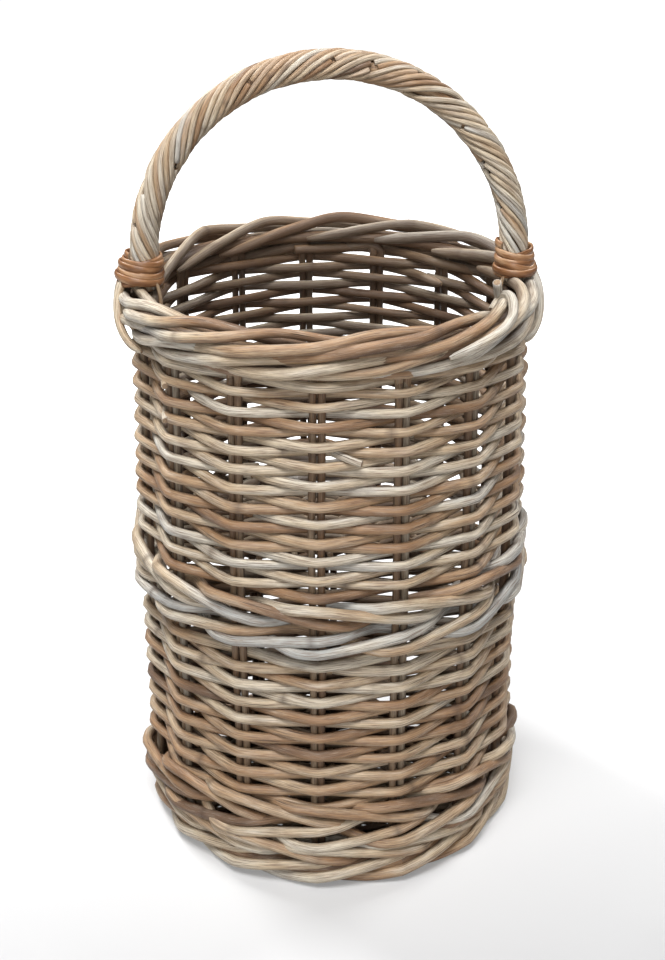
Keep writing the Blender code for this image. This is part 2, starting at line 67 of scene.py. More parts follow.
# Middle of the rolled border's section, which draws in at one spot and dips at the handle's feet. A spot is
# its angle from the front and its width, in degrees
BORDER_CENTRE_HEIGHT = 0.4062
BORDER_CENTRE_RADIUS = 0.1355
BORDER_DRAWN_IN = 0.0035
BORDER_DRAWN_SPOT = (74, 24)
BORDER_DIP = 0.0055
BORDER_DIP_SPOT = (85, 26)

# The handle's bow: half an ellipse on two short legs
HANDLE_HALF_SPAN = 0.130
HANDLE_RISE = 0.133
HANDLE_SPRING = 0.431
HANDLE_FOOT = 0.4158

# Diameters of the strands, and widths of the flat ones
ROD = 0.0055
UPPER_WEAVER = 0.0070
LOWER_WEAVER = 0.0076
CUT_STUB = 0.0050
MID_STRAND = 0.0081
FOOT_STRAND = 0.0081
FOOT_RING_STRAND = 0.0084
FOOT_RING_CORE = 0.0115
BORDER_STRAND = 0.0079
BORDER_CORE = 0.0088
HOOK = 0.0070
HOOK_STUB = 0.0060
HANDLE_STRAND = 0.0039
HANDLE_CORE = 0.0118
TAIL = 0.0062
INNER_TAIL = 0.0076
CANE = 0.0056
UNDER_CANE = 0.0054
PANEL_ROD = 0.0050

# Distance between the two rods of a pair, and about how far it is from one stake to the next
ROD_SPACING = 0.0058
STAKE_RUN = 0.055

# A point inside both walls' plans, from which outward is told
PLAN_CENTRE = np.array([0.0, -0.045, 0.0])
IN_PLAN = np.array([1.0, 1.0, 0.0])


# Lines


def unit(vectors, least=1e-9):
    """The same directions at length one, and shorter only where a vector is shorter than least."""
    return vectors / np.maximum(np.linalg.norm(vectors, axis=-1)[..., None], least)


def eased(share):
    """A share from 0 to 1 with a soft start and a soft end."""
    return share * share * (3 - 2 * share)


def bell(value, middle, width):
    return np.exp(-(((value - middle) / width) ** 2))


def smoothed(values, reach):
    """Mean of each value and its neighbours, so many to each side."""
    width = 2 * reach + 1
    return np.convolve(np.pad(values, reach, "edge"), np.ones(width) / width, "valid")


def drift(count, length, reach, size):
    """Smooth random values along a strand, with a new draw every so many metres."""
    knots = draw.normal(0.0, size, int(length / reach) + 3)
    place = np.linspace(0.0, length / reach, count)
    index = place.astype(int)
    share = eased(place - index)
    return knots[index] * (1 - share) + knots[index + 1] * share


def arc_lengths(path):
    return np.concatenate([[0.0], np.cumsum(np.linalg.norm(np.diff(path, axis=0), axis=1))])


def even(path, step):
    """The same line with points a step apart."""
    along = arc_lengths(path)
    places = np.linspace(0.0, along[-1], max(3, int(along[-1] / step) + 1))
    return np.stack([np.interp(places, along, path[:, axis]) for axis in range(3)], axis=1)


def curve_through(points, step):
    """A smooth line through a few points."""
    points = np.array(points, float)
    padded = np.vstack([2 * points[0] - points[1], points, 2 * points[-1] - points[-2]])
    share = np.linspace(0.0, 1.0, 16, endpoint=False)[:, None]
    pieces = []
    for index in range(len(points) - 1):
        before, start, end, after = padded[index : index + 4]
        first = 2 * start + (end - before) * share
        second = (2 * before - 5 * start + 4 * end - after) * share**2
        third = (3 * start - before - 3 * end + after) * share**3
        pieces.append(0.5 * (first + second + third))
    pieces.append(points[-1:])
    return even(np.vstack(pieces), step)


# Strands

# Node rings of rattan in metres: where the first one is, how far apart they are, how wide their lines and
# their swellings are, and how much of the radius the swelling adds
FIRST_RING = (0.03, 0.35)
RING_SPACING = (0.18, 0.42)
RING_WIDTH = 0.0022
SWELLING_WIDTH = 0.004
SWELLING = 0.07

# Ends: the share of the size that is left at a tapered end, and the bevelled lip of every end
END_SIZE = 0.42
LIP_REACH = 0.00035
LIP_SIZE = 0.8

# Painted shade, with the unwashed brown of inward sides: how much a strand's sides get where they face
# neither in nor down, what facing in adds, what facing down adds, and in the border where they face neither
# to the mouth nor away from it
SHADE_AND_BARE_LEVEL = 0.30
SHADE_AND_BARE_INWARD = 1.1
PAINTED_UNDERSIDE_SHADE = 0.22
SHADE_AND_BARE_MOUTH = 0.20

# How far apart the random values along a strand are drawn
UNEVEN_REACH = 0.045
TONE_REACH = 0.12


def side_vectors(steps, out):
    """Unit vectors square to a path: towards out where it is given, or else carried along with no twist."""
    if out is not None:
        return unit(out - steps * np.sum(out * steps, axis=1)[:, None])
    side = np.zeros_like(steps)
    side[0] = unit(np.cross(steps[0], (0.31, 0.22, 0.92)))
    for index in range(1, len(steps)):
        side[index] = unit(side[index - 1] - steps[index] * (side[index - 1] @ steps[index]))
    return side


def with_rings(radius, along):
    """The radius swollen at a strand's node rings, and how near each point is to a ring."""
    ring = np.zeros(len(along))
    place = draw.uniform(*FIRST_RING)
    while place < along[-1]:
        ring = np.maximum(ring, bell(along, place, RING_WIDTH))
        radius = radius * (1 + SWELLING * bell(along, place, SWELLING_WIDTH))
        place += draw.uniform(*RING_SPACING)
    return radius, ring


def with_lips(values):
    """The values with the first and the last one again, for the lips at a strand's ends."""
    return np.concatenate([values[:1], values, values[-1:]])


class Bundle:
    """Many strands gathered in one mesh, with the coordinates that their grain follows.

    shaded gives how strongly inner sides get painted shade and unwashed brown, and heart the middle of a
    rolled border, as its radius and height, towards which its strands' inner sides face.
    """

    def __init__(self, name, shaded=1.0, heart=None):
        self.name = name
        self.shaded = shaded
        self.heart = heart
        self.points = []
        self.quads = []
        self.ends = []
        self.grain = []
        self.layers = {"tone": [], "ring": [], "inner": []}
        self.count = 0

    def painted_shade_and_bareness(self, path, around):
        """How much painted shade, and unwashed brown on inward sides, each point gets by where it faces."""
        outward = unit((path - PLAN_CENTRE) * IN_PLAN, least=0.001)
        if self.heart:
            radius, height = self.heart
            outward = unit(path - unit(path * IN_PLAN) * radius - (0, 0, height), least=0.001)
        facing = np.einsum("nsk,nk->ns", around, outward)
        # Painted shade on sides that face in, sides that face down and the border's creases; inward sides are
        # partly unwashed brown too
        shaded_and_bare = np.clip(SHADE_AND_BARE_LEVEL - SHADE_AND_BARE_INWARD * facing - PAINTED_UNDERSIDE_SHADE * around[..., 2], 0, 1) * self.shaded
        if self.heart:
            facing_in = np.einsum("nsk,nk->ns", around, unit((PLAN_CENTRE - path) * IN_PLAN))
            shaded_and_bare = np.maximum(shaded_and_bare, np.clip(SHADE_AND_BARE_MOUTH + SHADE_AND_BARE_INWARD * facing_in, 0, 1))
        return shaded_and_bare

    def add(
        self,
        path,
        diameter,
        tone,
        sides=10,
        taper=(0.0, 0.0),
        flat=1.0,
        out=None,
        uneven=0.03,
        tone_drift=0.05,
    ):
        """One strand. Taper gives how far from each end it narrows; flat squeezes it along out."""
        path = np.asarray(path, float)
        along = arc_lengths(path)
        length = along[-1]
        steps = unit(np.gradient(path, axis=0))
        side = side_vectors(steps, out)
        other = np.cross(steps, side)

        radius = diameter / 2 * (1 + drift(len(path), length, UNEVEN_REACH, uneven))
        radius, ring = with_rings(radius, along)
        for reach, distance in ((taper[0], along), (taper[1], length - along)):
            if reach:
                radius = radius * (END_SIZE + (1 - END_SIZE) * np.clip(distance / reach, 0, 1) ** 0.6)

        angles = 2 * math.pi * np.arange(sides) / sides
        oval = draw.uniform(0.0, 0.05)
        turn = draw.uniform(0, 2 * math.pi)
        shape = 1 + oval * np.cos(2 * (angles - turn)) if flat == 1.0 else np.ones(sides)
        around = (np.cos(angles) * shape * flat)[None, :, None] * side[:, None, :]
        around = around + (np.sin(angles) * shape)[None, :, None] * other[:, None, :]

        middles = np.array([path[0] - steps[0] * LIP_REACH, path[-1] + steps[-1] * LIP_REACH])
        first_lip = middles[0] + LIP_SIZE * radius[0] * around[0]
        last_lip = middles[1] + LIP_SIZE * radius[-1] * around[-1]
        body = path[:, None, :] + radius[:, None, None] * around
        body = np.concatenate([first_lip[None], body, last_lip[None]])
        self.add_faces(len(body), sides)

        mark = draw.uniform(0.0, 400.0)
        grain = np.zeros(body.shape)
        grain[..., 0] = with_lips(along)[:, None] + mark
        grain[..., 1] = np.cos(angles) * diameter / 2
        grain[..., 2] = np.sin(angles) * diameter / 2
        shade = with_lips(np.broadcast_to(tone, len(path)))
        shade = np.clip(shade + drift(len(body), length, TONE_REACH, tone_drift), 0.0, 1.0)
        self.points += [body.reshape(-1, 3), middles]
        self.grain += [grain.reshape(-1, 3), np.array([[mark, 0, 0], [mark + length, 0, 0]])]
        self.layers["tone"] += [np.repeat(shade, sides), shade[[0, -1]]]
        self.layers["ring"] += [np.repeat(with_lips(ring), sides), np.zeros(2)]
        # The inner layer carries the painted shade, with unwashed brown on inward sides
        self.layers["inner"] += [with_lips(self.painted_shade_and_bareness(path, around)).ravel(), np.zeros(2)]

    def add_faces(self, rows, sides):
        """Faces of a strand of so many rows of points, closed at its ends round two middle points."""
        here = np.arange(sides)
        there = (here + 1) % sides
        row = self.count + sides * np.arange(rows - 1)[:, None]
        quads = np.stack([row + here, row + there, row + there + sides, row + here + sides], axis=-1)
        self.quads.append(quads.reshape(-1, 4))
        first = self.count
        last = first + (rows - 1) * sides
        middle = np.full(sides, last + sides)
        self.ends.append(np.stack([first + there, first + here, middle], axis=-1))
        self.ends.append(np.stack([last + here, last + there, middle + 1], axis=-1))
        self.count = last + sides + 2

    def build(self, nodes, materials):
        """The mesh, with the cut ends in the second material, in place of the solids of the nodes."""
        points = np.concatenate(self.points)
        quads = np.concatenate(self.quads)
        ends = np.concatenate(self.ends)
        mesh = bpy.data.meshes.new(self.name)
        mesh.from_pydata(points.tolist(), [], quads.tolist() + ends.tolist())
        kinds = [0] * len(quads) + [1] * len(ends)
        mesh.polygons.foreach_set("material_index", kinds)
        mesh.polygons.foreach_set("use_smooth", [kind == 0 for kind in kinds])
        grain = mesh.attributes.new("grain", "FLOAT_VECTOR", "POINT")
        grain.data.foreach_set("vector", np.concatenate(self.grain).ravel())
        for name, values in self.layers.items():
            layer = mesh.attributes.new(name, "FLOAT", "POINT")
            layer.data.foreach_set("value", np.concatenate(values))
        for material in materials:
            mesh.materials.append(material)
        mesh.update()
        piece = bpy.data.objects.new(self.name, mesh)
        bpy.context.scene.collection.objects.link(piece)
        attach(piece, "root")
        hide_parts(*nodes)


# Plans of the walls


def stake_radius(height):
    return np.interp(height, PROFILE_HEIGHTS, PROFILE_RADII)


def ring_points(angle, radius, height):
    """Points by their angle from the front, their radius and their height."""
    return np.stack([radius * np.sin(angle), -radius * np.cos(angle), height + 0 * angle], axis=-1)


def round_point(angle, offset, height):
    return ring_points(angle, stake_radius(height) + offset, height)


def round_wall(place, offset, height):
    """Point of the upper wall; place counts the stakes."""
    return round_point(STAKE_START + STAKE_TURN * place, offset, height)


def corner_centre(radius):
    """Middle of the corner between the round front and the riser, and the angle where the front ends."""
    y = RISER_SETBACK - RISER_CORNER
    x = np.sqrt((radius - RISER_CORNER) ** 2 - y**2)
    return x, y, np.arctan2(x, -y)


def lower_point(share, offset, height):
    """Point of the lower wall; its five parts are front, corner, riser, corner and front."""
    radius = stake_radius(height)
    centre_x, centre_y, arc_end = corner_centre(radius)
    place = np.mod(share, 5.0)
    side = np.where(place > 2.5, -1.0, 1.0)
    place = np.where(place > 2.5, 5.0 - place, place)
    front = place * arc_end
    turn = arc_end + (place - 1) * (math.pi - arc_end)
    x = np.select(
        [place <= 1, place <= 2],
        [(radius + offset) * np.sin(front), centre_x + (RISER_CORNER + offset) * np.sin(turn)],
        centre_x * (1 - 2 * (place - 2)),
    )
    y = np.select(
        [place <= 1, place <= 2],
        [-(radius + offset) * np.cos(front), centre_y - (RISER_CORNER + offset) * np.cos(turn)],
        RISER_SETBACK + offset,
    )
    return np.stack([side * x, y, height + 0 * place], axis=-1)


# Height at which the lower stakes' places are set out on the plan
SET_OUT_HEIGHT = 0.105


def lower_share(angle):
    """Where on the lower plan, in its five parts, the stake at an angle from the front comes down."""
    radius = float(stake_radius(SET_OUT_HEIGHT))
    arc_end = float(corner_centre(radius)[2])
    size = abs(angle)
    share = size / arc_end
    if size > arc_end:
        share = 1 + (size - arc_end) * radius / RISER_CORNER / (math.pi - arc_end)
    return share if angle >= 0 else 5.0 - share


RING_ANGLES = [math.remainder(STAKE_START + STAKE_TURN * index, 2 * math.pi) for index in range(STAKES)]
RIGHT = sorted(angle for angle in RING_ANGLES if 0 <= angle < math.pi / 2)
LEFT = sorted(angle for angle in RING_ANGLES if -math.pi / 2 < angle < 0)
RISER_SHARES = [2.0, 2.25, 2.5, 2.75, 3.0]
LOWER_SHARES = [lower_share(angle) for angle in RIGHT] + RISER_SHARES + [lower_share(angle) for angle in LEFT]
LOWER_POSTS = len(LOWER_SHARES)


def lower_wall(place, offset, height):
    """Point of the lower wall; place counts the stakes."""
    place = np.asarray(place, float)
    inside = place - np.floor(place / LOWER_POSTS) * LOWER_POSTS
    share = np.interp(inside, range(LOWER_POSTS + 1), LOWER_SHARES + [LOWER_SHARES[0] + 5.0])
    point = lower_point(share, offset, height)
    facing = np.clip(-point[..., 1] / FLARE_DEPTH, 0, 1) ** 2
    flare = np.clip(1 - point[..., 2] / FLARE_TOP, 0, 1) * (FLARE_FRONT * facing + FLARE_SIDE * (1 - facing))
    return point + unit(point * IN_PLAN) * flare[..., None]


# How straight strands run between stakes, up to 1
STRAIGHT = 0.62


def on_chords(wall, place, offset, height):
    """Point of a wall whose strands run nearly straight from stake to stake."""
    before = np.floor(place)
    share = (place - before)[:, None]
    chord = wall(before, 0.0, height) * (1 - share) + wall(before + 1, 0.0, height) * share
    return wall(place, offset, height) + STRAIGHT * (chord - wall(place, 0.0, height))


# Materials


class Nodes:
    """Short ways to add and join shader nodes."""

    def __init__(self, name):
        self.material = bpy.data.materials.new(name)
        self.material.use_nodes = True
        self.tree = self.material.node_tree
        self.shader = self.tree.nodes["Principled BSDF"]

    def node(self, kind, **settings):
        made = self.tree.nodes.new(kind)
        for name, value in settings.items():
            setattr(made, name, value)
        return made

    def put(self, socket, value):
        if isinstance(value, bpy.types.NodeSocket):
            self.tree.links.new(value, socket)
        else:
            socket.default_value = value

    def attribute(self, name, output="Fac"):
        return self.node("ShaderNodeAttribute", attribute_name=name).outputs[output]

    def stretched(self, vector, scale):
        made = self.node("ShaderNodeMapping")
        self.put(made.inputs["Vector"], vector)
        self.put(made.inputs["Scale"], scale)
        return made.outputs["Vector"]

    def noise(self, vector, detail=3.0, rough=0.55, scale=1.0):
        made = self.node("ShaderNodeTexNoise")
        self.put(made.inputs["Vector"], vector)
        self.put(made.inputs["Scale"], scale)
        self.put(made.inputs["Detail"], detail)
        self.put(made.inputs["Roughness"], rough)
        return made.outputs["Fac"]

    def span(self, value, low, high, to_low=0.0, to_high=1.0):
        made = self.node("ShaderNodeMapRange")
        self.put(made.inputs["Value"], value)
        for name, number in (("From Min", low), ("From Max", high), ("To Min", to_low), ("To Max", to_high)):
            self.put(made.inputs[name], number)
        return made.outputs["Result"]

    def math(self, operation, first, second):
        made = self.node("ShaderNodeMath", operation=operation)
        self.put(made.inputs[0], first)
        self.put(made.inputs[1], second)
        return made.outputs[0]

    def ramp(self, value, stops):
        made = self.node("ShaderNodeValToRGB")
        elements = made.color_ramp.elements
        while len(elements) < len(stops):
            elements.new(0.5)
        for element, (place, colour) in zip(elements, stops):
            element.position = place
            element.color = (*colour, 1.0)
        self.put(made.inputs["Fac"], value)
        return made.outputs["Color"]

    def mix(self, share, first, second):
        made = self.node("ShaderNodeMix", data_type="RGBA", blend_type="MIX")
        self.put(made.inputs["Factor"], share)
        self.put(made.inputs[6], first)
        self.put(made.inputs[7], second)
        return made.outputs[2]

    def bump(self, height, strength, distance):
        made = self.node("ShaderNodeBump")
        self.put(made.inputs["Strength"], strength)
        self.put(made.inputs["Distance"], distance)
        self.put(made.inputs["Height"], height)
        self.put(self.shader.inputs["Normal"], made.outputs["Normal"])

    def surface(self, colour, roughness):
        self.put(self.shader.inputs["Base Color"], colour)
        self.put(self.shader.inputs["Roughness"], roughness)


# The scale of tones: brown, orange brown, tan, beige, pale, grey and blue grey
STRAND_COLOURS = [
    (0.00, (0.140, 0.080, 0.045)),
    (0.16, (0.330, 0.185, 0.090)),
    (0.33, (0.470, 0.320, 0.190)),
    (0.50, (0.580, 0.465, 0.320)),
    (0.68, (0.670, 0.595, 0.470)),
    (0.84, (0.600, 0.570, 0.500)),
    (1.00, (0.420, 0.425, 0.405)),
]
WASH = (0.72, 0.69, 0.63, 1.0)
DARK_LINE = (0.15, 0.085, 0.050, 1.0)
PALE_LINE = (0.76, 0.69, 0.57, 1.0)
CRACK = (0.040, 0.024, 0.016, 1.0)
NODE_RING = (0.075, 0.045, 0.030, 1.0)
# Dark brown of the painted shade on inner sides, partly the unwashed core
SHADE_AND_BARE_BROWN = (0.085, 0.050, 0.031, 1.0)
SHADE = (0.05, 0.03, 0.02, 1.0)

CUT_COLOURS = [(0.3, (0.20, 0.125, 0.075)), (0.7, (0.42, 0.30, 0.19))]

CANE_COLOURS = [(0.32, (0.170, 0.075, 0.032)), (0.50, (0.350, 0.175, 0.080)), (0.66, (0.560, 0.350, 0.200))]
CANE_LINE = (0.085, 0.030, 0.012, 1.0)
CANE_RING = (0.06, 0.025, 0.01, 1.0)


def strand_material(name, lightness=1.0, wash=0.4):
    """Weathered rattan core: tones along each strand, a grey wash, grain lines, cracks and node rings, with
    painted shade on inner sides, and the whole material darker by lightness.
    """
    made = Nodes(name)
    grain = made.attribute("grain", "Vector")
    slow = made.noise(made.stretched(grain, (14.0, 90.0, 90.0)), detail=2.0)
    tone = made.math("ADD", made.attribute("tone"), made.span(slow, 0.3, 0.7, -0.17, 0.17))
    colour = made.ramp(tone, STRAND_COLOURS)
    patches = made.noise(made.stretched(grain, (32.0, 260.0, 260.0)), detail=4.0, rough=0.6)
    washed = made.span(patches, 0.50, 0.70, 0.0, wash)
    pale = made.math("MULTIPLY", washed, made.span(tone, 0.18, 0.50, 0.30, 1.15))
    colour = made.mix(pale, colour, WASH)
    lines = made.noise(made.stretched(grain, (60.0, 1500.0, 1500.0)), detail=4.0, rough=0.65)
    colour = made.mix(made.span(lines, 0.34, 0.58, 0.85, 0.0), colour, DARK_LINE)
    fine = made.noise(made.stretched(grain, (110.0, 3200.0, 3200.0)), detail=2.0)
    colour = made.mix(made.span(fine, 0.55, 0.75, 0.0, 0.35), colour, PALE_LINE)
    cracks = made.noise(made.stretched(grain, (26.0, 1100.0, 1100.0)), detail=1.0)
    open_crack = made.span(cracks, 0.300, 0.245, 0.0, 0.85)
    colour = made.mix(open_crack, colour, CRACK)
    colour = made.mix(made.math("MULTIPLY", made.attribute("ring"), 0.6), colour, NODE_RING)
    # Painted shade on inner sides, downward sides and the border's creases by the inner layer; inward sides
    # are partly unwashed brown too
    colour = made.mix(made.attribute("inner"), colour, made.mix(0.80, colour, SHADE_AND_BARE_BROWN))
    # Darker all over by lightness: on the stake rods this is painted shade of the gaps between rows, partly
    # their own darker colour
    if lightness != 1.0:
        dim = 1.0 - lightness
        colour = made.mix(made.span(patches, 0.2, 0.8, dim, 0.9 * dim), colour, SHADE)
    made.surface(colour, made.span(patches, 0.3, 0.7, 0.36, 0.66))
    made.put(made.shader.inputs["Specular IOR Level"], 0.45)
    height = made.math("SUBTRACT", made.math("ADD", lines, made.math("MULTIPLY", fine, 0.4)), open_crack)
    made.bump(height, 0.7, 0.0006)
    return made.material


def cut_material():
    """Cut ends of rattan core, with open pores."""
    made = Nodes("cut_ends")
    grain = made.attribute("grain", "Vector")
    pores = made.node("ShaderNodeTexVoronoi")
    made.put(pores.inputs["Vector"], made.stretched(grain, (10.0, 1800.0, 1800.0)))
    made.put(pores.inputs["Scale"], 1.0)
    dark = made.span(pores.outputs["Distance"], 0.18, 0.36, 0.8, 0.0)
    cloud = made.noise(made.stretched(grain, (10.0, 500.0, 500.0)))
    colour = made.mix(dark, made.ramp(cloud, CUT_COLOURS), SHADE)
    made.surface(colour, made.span(cloud, 0.3, 0.7, 0.75, 0.9))
    made.bump(pores.outputs["Distance"], 0.4, 0.0004)
    return made.material


def cane_material():
    """Glossy skin of rattan, orange brown, with lengthwise lines and node rings."""
    made = Nodes("cane_skin")
    grain = made.attribute("grain", "Vector")
    slow = made.noise(made.stretched(grain, (45.0, 160.0, 160.0)), detail=3.0)
    colour = made.ramp(slow, CANE_COLOURS)
    lines = made.noise(made.stretched(grain, (70.0, 2600.0, 2600.0)), detail=3.0)
    colour = made.mix(made.span(lines, 0.35, 0.6, 0.55, 0.0), colour, CANE_LINE)
    colour = made.mix(made.math("MULTIPLY", made.attribute("ring"), 0.6), colour, CANE_RING)
    made.surface(colour, made.span(slow, 0.3, 0.7, 0.26, 0.42))
    made.put(made.shader.inputs["Specular IOR Level"], 0.5)
    made.bump(lines, 0.25, 0.0004)
    return made.material


CUT_ENDS = cut_material()
WEAVE_LOOK = strand_material("weave_strands")
WALE_LOOK = strand_material("wale_strands")
# Stake rods darkened all over: painted shade of the gaps between rows, partly their own darker colour
STAKE_LOOK = strand_material("stake_rods", lightness=0.52, wash=0.2)
BORDER_LOOK = strand_material("border_strands", wash=0.3)
PANEL_LOOK = strand_material("panel_rods", lightness=0.8, wash=0.15)
HANDLE_LOOK = strand_material("handle_strands", wash=0.5)
CORE_LOOK = strand_material("core_rod", wash=0.2)
CANE_LOOK = cane_material()


def pick_tone(middle, spread=0.15):
    return float(np.clip(middle + draw.normal(0.0, spread), 0.02, 0.98))


# Stakes

STAKE_TOP = 0.390
RISER_STAKE_TOP = STEP_HEIGHT + 0.012
STEP_STAKE_FOOT = STEP_HEIGHT - 0.002
FLOOR_STAKE_FOOT = 0.008


def reaches_floor(angle):
    return abs(angle) < math.pi / 2


def ring_stake(angle, heights):
    """Line of a pair of rods round the wall, and the way outward along it."""
    line = round_point(angle + 0 * heights, 0.0, heights)
    if reaches_floor(angle):
        below = lower_point(lower_share(angle) + 0 * heights, 0.0, heights)
        blend = np.clip((heights - STEP_HEIGHT + 0.02) / 0.04, 0, 1)[:, None]
        line = below * (1 - blend) + line * blend
    return line, unit(line * IN_PLAN)


def riser_stake(share, heights):
    """Line of a pair of rods of the riser wall, and the way outward along it."""
    places = share + 0 * heights
    line = lower_point(places, 0.0, heights)
    return line, unit(lower_point(places, 0.01, heights) - line)


def add_pair(bundle, stake, place, foot, top):
    """Two uneven rods side by side along a stake's line."""
    heights = np.arange(foot, top, 0.006)
    count = len(heights)
    line, outward = stake(place, heights)
    across = np.stack([-outward[:, 1], outward[:, 0], 0 * heights], axis=1)
    for shift in (-0.5, 0.5):
        lean = drift(count, top - foot, 0.09, 0.00045)
        path = line + across * (shift * ROD_SPACING + lean)[:, None]
        path = path + outward * drift(count, top - foot, 0.09, 0.0002)[:, None]
        bundle.add(path, ROD * draw.uniform(0.93, 1.03), pick_tone(0.30, 0.12), sides=8)


def make_stakes():
    bundle = Bundle("stake_rods")
    for angle in RING_ANGLES:
        foot = FLOOR_STAKE_FOOT if reaches_floor(angle) else STEP_STAKE_FOOT
        add_pair(bundle, ring_stake, angle, foot, STAKE_TOP)
    for share in RISER_SHARES:
        add_pair(bundle, riser_stake, share, FLOOR_STAKE_FOOT, RISER_STAKE_TOP)
    nodes = [f"stake_{number:02d}" for number in range(1, STAKES + 1)]
    nodes += ["corner_stake_left", "corner_stake_right", "riser_stake_1", "riser_stake_2", "riser_stake_3"]
    bundle.build(nodes, [STAKE_LOOK, CUT_ENDS])


# Weaves

# Heights, and the tones of the rows there
UPPER_TONES = (
    [0.24, 0.26, 0.29, 0.315, 0.33, 0.35, 0.36, 0.40],
    [0.42, 0.40, 0.48, 0.50, 0.64, 0.60, 0.44, 0.40],
)
LOWER_TONES = ([0.07, 0.10, 0.13, 0.155, 0.175, 0.19], [0.50, 0.45, 0.46, 0.40, 0.33, 0.42])

# First and last stake that each wall's weavers pass, counted on round the basket as they climb
UPPER_PLACES = (-7, 353)
LOWER_PLACES = (-32, 188)

# Height of the upper rows at stake 0 and of the lower ones at stake -1, and their climb in two rounds
UPPER_START = 0.2348
UPPER_CLIMB = 0.01381
LOWER_START = 0.0784
LOWER_CLIMB = 0.0147

# How sharply a weaver bends at the stakes, up to 1, and how far it swings: at 1 it only touches the rods
BEND = 0.90
UPPER_SWING = 0.86
LOWER_SWING = 0.74

# How far a weaver starts before a stake and ends past one, and over what way it comes out, in stakes
WEAVER_LEAD = 0.16
WEAVER_TAIL = 0.20
COMING_OUT = 0.62

# Ends of weavers that stand out beside a stake: place counted in stakes, and height
CUT_STUBS = [(0.49, 0.3355), (-1.96, 0.3446), (-1.95, 0.3694)]


def upper_height(place):
    return UPPER_START + UPPER_CLIMB * place / (2 * STAKES)


def lower_height(place):
    return LOWER_START + LOWER_CLIMB * (place + 1) / (2 * LOWER_POSTS)


def woven_band(bundle, wall, diameter, places, height_at, depth, first_side, tones):
    """One weaver after another, in and out by turns, each begun behind the stake where the last ends."""
    swing = depth * (ROD / 2 + diameter / 2)
    first, last = places
    start = first
    while start < last - 1:
        end = min(last, start + 2 * int(draw.integers(5, 14)))
        if last - end < 8:
            end = last
        place = np.arange(start - WEAVER_LEAD, end + WEAVER_TAIL, 1 / 12)
        wave = np.arcsin(BEND * first_side * np.cos(np.pi * place)) / math.asin(BEND)
        offset = swing * wave
        if start > first:
            out = eased(np.clip((place - start + WEAVER_LEAD) / COMING_OUT, 0, 1))
            offset = offset - (1 - out) * diameter * 0.95
        length = (end - start) * STAKE_RUN
        count = len(place)
        offset = offset + drift(count, length, 0.05, 0.00035)
        height = height_at(place) + drift(count, length, 0.06, 0.00042)
        path = on_chords(wall, place, offset, height)
        size = diameter * draw.uniform(0.94, 1.05)
        tone = pick_tone(float(np.interp(height.mean(), *tones)), 0.18)
        bundle.add(path, size, tone, taper=(0.006 if start > first else 0, 0.0), tone_drift=0.09)
        start = end


def add_stub(bundle, place, height):
    """A weaver's cut end that comes out beside a stake."""
    side = 1 if place - math.floor(place) < 0.5 else -1
    places = place - side * np.array([0.30, 0.20, 0.10, 0.0])
    offsets = np.array([-0.0030, 0.0010, 0.0050, 0.0085])
    heights = height + np.array([0.0030, 0.0022, 0.0012, 0.0])
    path = curve_through(round_wall(places, offsets, heights), 0.0025)
    bundle.add(path, CUT_STUB, pick_tone(0.45), uneven=0.02)


def make_weaves():
    upper = Bundle("upper_weave")
    woven_band(upper, round_wall, UPPER_WEAVER, UPPER_PLACES, upper_height, UPPER_SWING, 1, UPPER_TONES)
    for place, height in CUT_STUBS:
        add_stub(upper, place, height)
    upper.build([f"upper_weaver_{number}" for number in range(1, 6)], [WEAVE_LOOK, CUT_ENDS])
    lower = Bundle("lower_weave")
    woven_band(lower, lower_wall, LOWER_WEAVER, LOWER_PLACES, lower_height, LOWER_SWING, -1, LOWER_TONES)
    lower.build([f"lower_weaver_{number}" for number in range(1, 5)], [WEAVE_LOOK, CUT_ENDS])


# Thick bands and foot

# A strand of a thick band passes outside two stakes and behind the third
WALE_CYCLE = 3

# The stake where a band begins, and its rounds: height where each strand comes out and where it goes in,
# how far it laps out over the others, its tone, and how far the round sinks at a spot on both sides
MID_SEAM = 7
MID_ROUNDS = [(0.2290, 0.2105, 0.004, 0.54, 0.0), (0.1930, 0.2085, 0.004, 0.58, 0.0)]
FOOT_SEAM = 6
FOOT_ROUNDS = [
    (0.0670, 0.0468, 0.005, 0.36, 0.016),
    (0.0340, 0.0506, 0.005, 0.40, 0.006),
    (0.0345, 0.0195, 0.004, 0.38, 0.0),
]
SINK_SPOT = (88, 26)

# Rolled edge of the foot: stakes that a rod passes, how far out from the core it lies, and how it rolls
# round the core, in degrees where 0 is outside and -90 below
FOOT_RING_PASSES = 3.1
FOOT_RING_LAY = 0.0076
FOOT_ROLL_START = -118
FOOT_ROLL_PER_STAKE = 92


